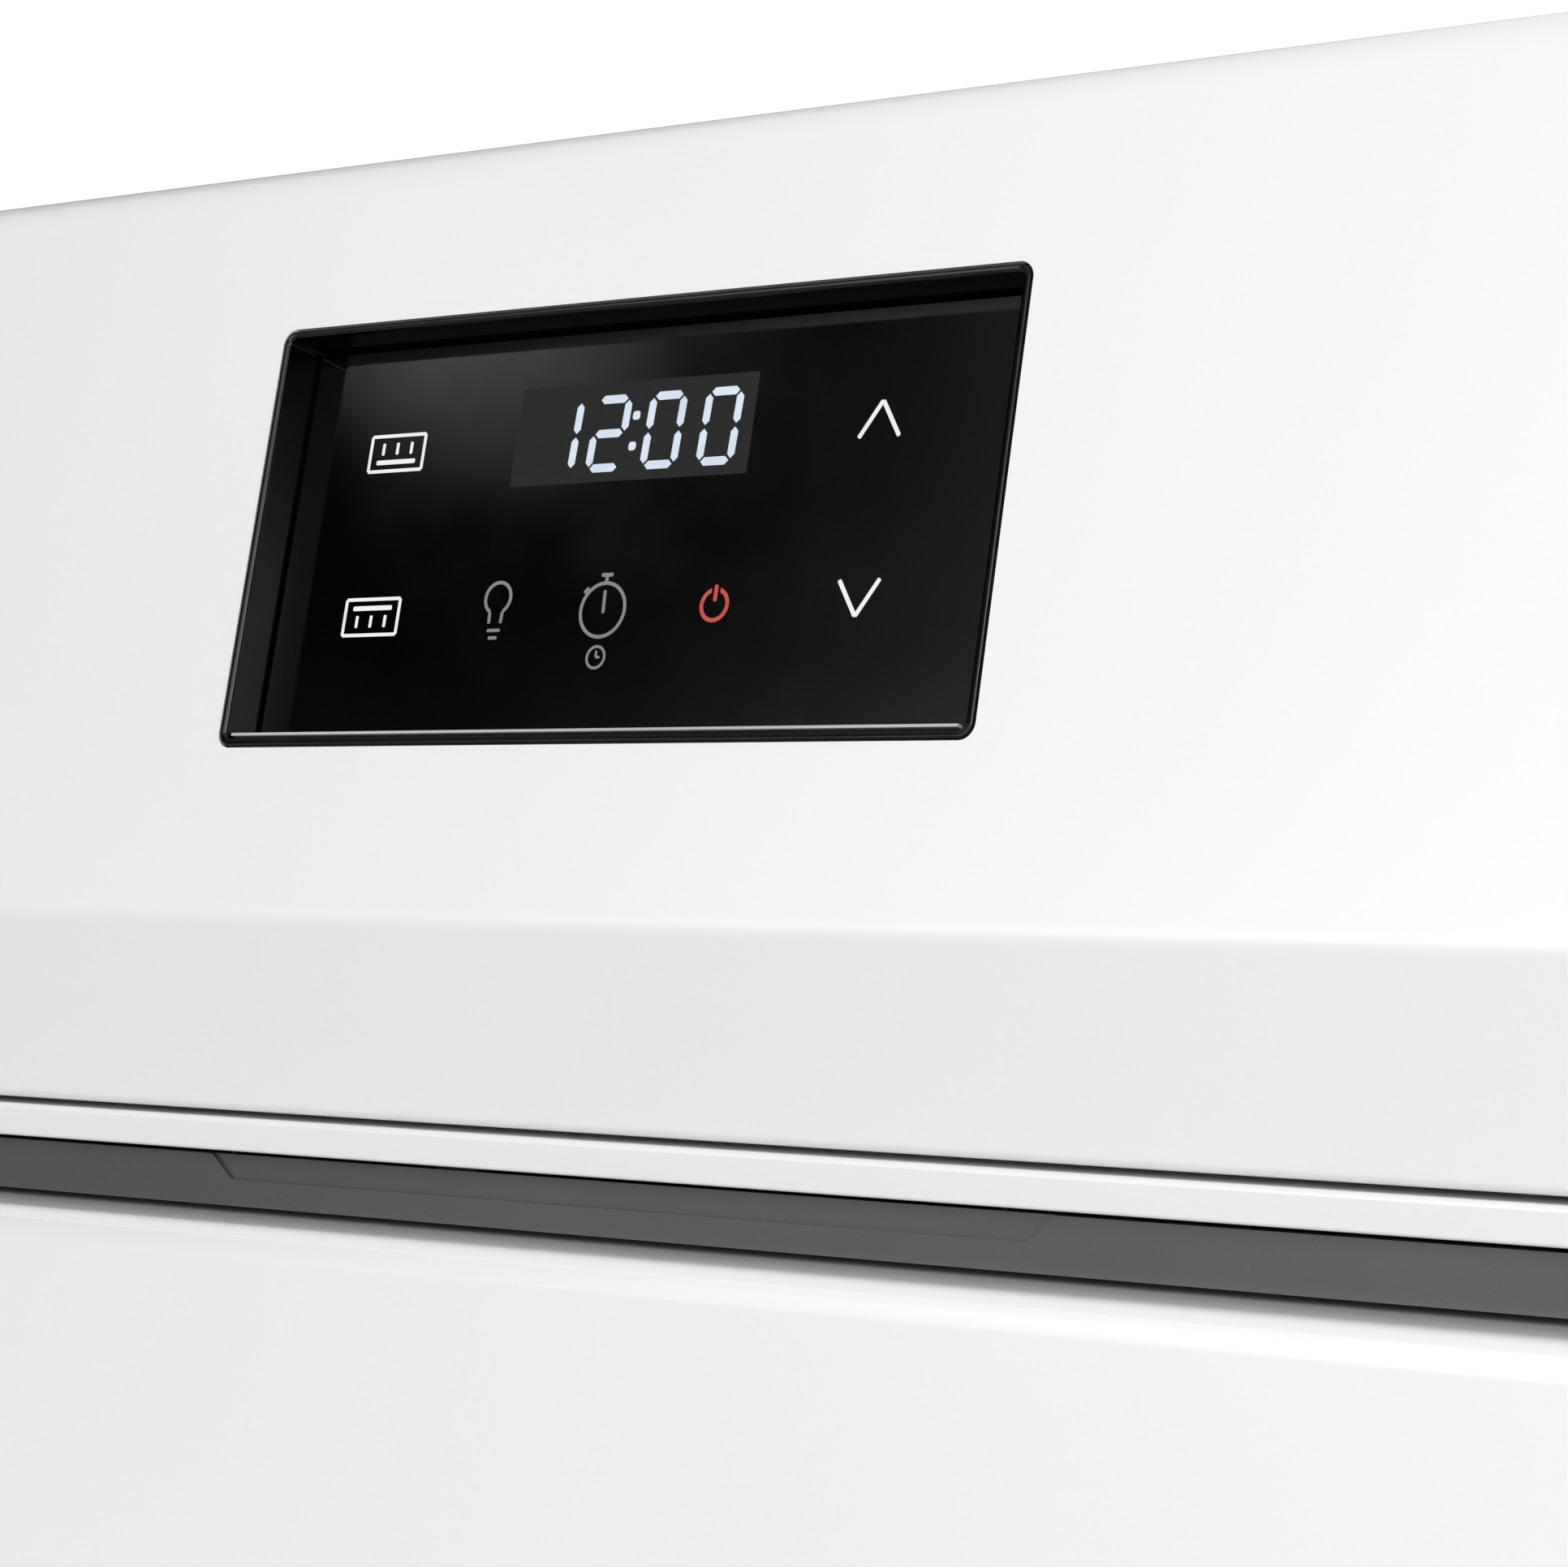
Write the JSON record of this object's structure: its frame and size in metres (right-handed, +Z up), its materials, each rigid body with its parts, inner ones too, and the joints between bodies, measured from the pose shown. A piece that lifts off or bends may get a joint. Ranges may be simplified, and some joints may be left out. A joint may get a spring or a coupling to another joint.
{
  "type": "gas wall oven",
  "caption": "White built-in gas wall oven with a sloping touch control panel, a windowed drop-down oven door and a drop-down broiler door below.",
  "frame": {"origin": "centre of the underside of the body that stands in the cabinet", "axes": "+Z up, -Y out of the front towards the cook, +X to the right seen from the front"},
  "size_m": [0.606, 0.688, 1.05],
  "materials": {
    "white_enamel": "glossy baked white enamel on steel",
    "white_plastic": "moulded white ABS",
    "black_plastic": "moulded satin black ABS",
    "black_glass": "back-printed black touch glass",
    "window_glass": "dark heat-resisting door glass",
    "clear_glass": "clear borosilicate glass",
    "grey_porcelain": "fired grey porcelain enamel",
    "galvanised_steel": "spangled galvanised sheet",
    "aluminised_steel": "aluminised sheet",
    "nickel_wire": "nickel-plated wire",
    "glass_fibre": "glass-fibre blanket",
    "door_seal": "braided glass-fibre seal",
    "circuit_board": "green solder mask",
    "cast_aluminium": "die-cast body",
    "black_iron": "black gas pipe",
    "lamp_ceramic": "white steatite",
    "zinc_steel": "zinc-plated steel",
    "silicon_carbide": "igniter element"
  },
  "bodies": {
    "cabinet": {"back_panel": "galvanised_steel", "base_pan": "galvanised_steel", "broiler_floor": "grey_porcelain", "broiler_side_walls": "grey_porcelain", "burner_tube": "aluminised_steel", "conduit_connector": "zinc_steel", "control_board": "circuit_board", "control_chassis": "galvanised_steel", "control_panel_skin": "white_enamel", "display_bezel": "black_plastic", "display_module": "black_plastic", "flame_spreader": "aluminised_steel", "flue_duct": "aluminised_steel", "front_frame": "grey_porcelain", "gas_inlet_nipple": "black_iron", "gas_valve": "cast_aluminium", "heat_shield_shelf": "galvanised_steel", "hinge_receivers": "zinc_steel", "igniter": "silicon_carbide", "insulation_blanket": "glass_fibre", "junction_box": "galvanised_steel", "lamp_bulb": "clear_glass", "lamp_lens": "clear_glass", "lamp_socket": "lamp_ceramic", "liner_back_wall": "grey_porcelain", "lower_vent_trim": "white_enamel", "manifold_pipe": "black_iron", "oven_bottom_panel": "grey_porcelain", "oven_ceiling": "grey_porcelain", "oven_door_gasket": "door_seal", "oven_side_walls": "grey_porcelain", "panel_end_caps": "white_plastic", "pressure_regulator": "cast_aluminium", "side_panels": "galvanised_steel", "side_trims": "white_enamel", "temperature_probe": "zinc_steel", "top_panel": "galvanised_steel", "touch_glass": "black_glass", "vent_baffle": "grey_porcelain", "vent_trim": "white_enamel"},
    "oven_door": {"oven_door_skin": "white_enamel", "oven_door_liner": "grey_porcelain", "oven_door_insulation": "glass_fibre", "oven_door_handle": "white_enamel", "oven_hinge_arms": "zinc_steel", "window_trim": "black_plastic", "window_outer_glass": "window_glass", "window_spacer_frame": "galvanised_steel", "window_inner_glass": "clear_glass"},
    "broiler_door": {"broiler_door_skin": "white_enamel", "broiler_door_liner": "grey_porcelain", "broiler_door_insulation": "glass_fibre", "broiler_door_handle": "white_enamel", "broiler_hinge_arms": "zinc_steel"},
    "lower_rack": {"lower_oven_rack": "nickel_wire"},
    "upper_rack": {"upper_oven_rack": "nickel_wire"},
    "broiler_tray": {"broiler_pan": "grey_porcelain", "broiler_grid": "grey_porcelain"},
    "shutter": {"air_shutter": "aluminised_steel"},
    "lever": {"shutoff_lever": "zinc_steel"}
  },
  "joints": [
    {"name": "oven_door_hinge", "type": "hinge", "parent": "cabinet", "child": "oven_door", "pos_m": [0, -0.315, 0.3445], "axis": [1, 0, 0], "range_deg": [0, 90], "stiffness_Nm_per_rad": 8, "springref_deg": -51.57},
    {"name": "broiler_door_hinge", "type": "hinge", "parent": "cabinet", "child": "broiler_door", "pos_m": [0, -0.315, 0.079], "axis": [1, 0, 0], "range_deg": [0, 90], "stiffness_Nm_per_rad": 2, "springref_deg": -57.3},
    {"name": "lower_rack_slide", "type": "slide", "parent": "cabinet", "child": "lower_rack", "axis": [0, -1, 0], "range_m": [0, 0.24]},
    {"name": "upper_rack_slide", "type": "slide", "parent": "cabinet", "child": "upper_rack", "axis": [0, -1, 0], "range_m": [0, 0.24]},
    {"name": "broiler_pan_slide", "type": "slide", "parent": "cabinet", "child": "broiler_tray", "axis": [0, -1, 0], "range_m": [0, 0.2]},
    {"name": "air_shutter_turn", "type": "hinge", "parent": "cabinet", "child": "shutter", "pos_m": [0, 0.1928, 0.3415], "axis": [0, 1, 0], "range_deg": [0, 45]},
    {"name": "shutoff_lever_turn", "type": "hinge", "parent": "cabinet", "child": "lever", "pos_m": [0.034, 0.247, 0.11], "axis": [1, 0, 0], "range_deg": [0, 90]}
  ],
  "couplings": [
    {"joint": "lower_rack_slide", "follows": "oven_door_hinge", "m_per_rad": 0.1527},
    {"joint": "upper_rack_slide", "follows": "oven_door_hinge", "m_per_rad": 0.1527},
    {"joint": "broiler_pan_slide", "follows": "broiler_door_hinge", "m_per_rad": 0.1273}
  ]
}
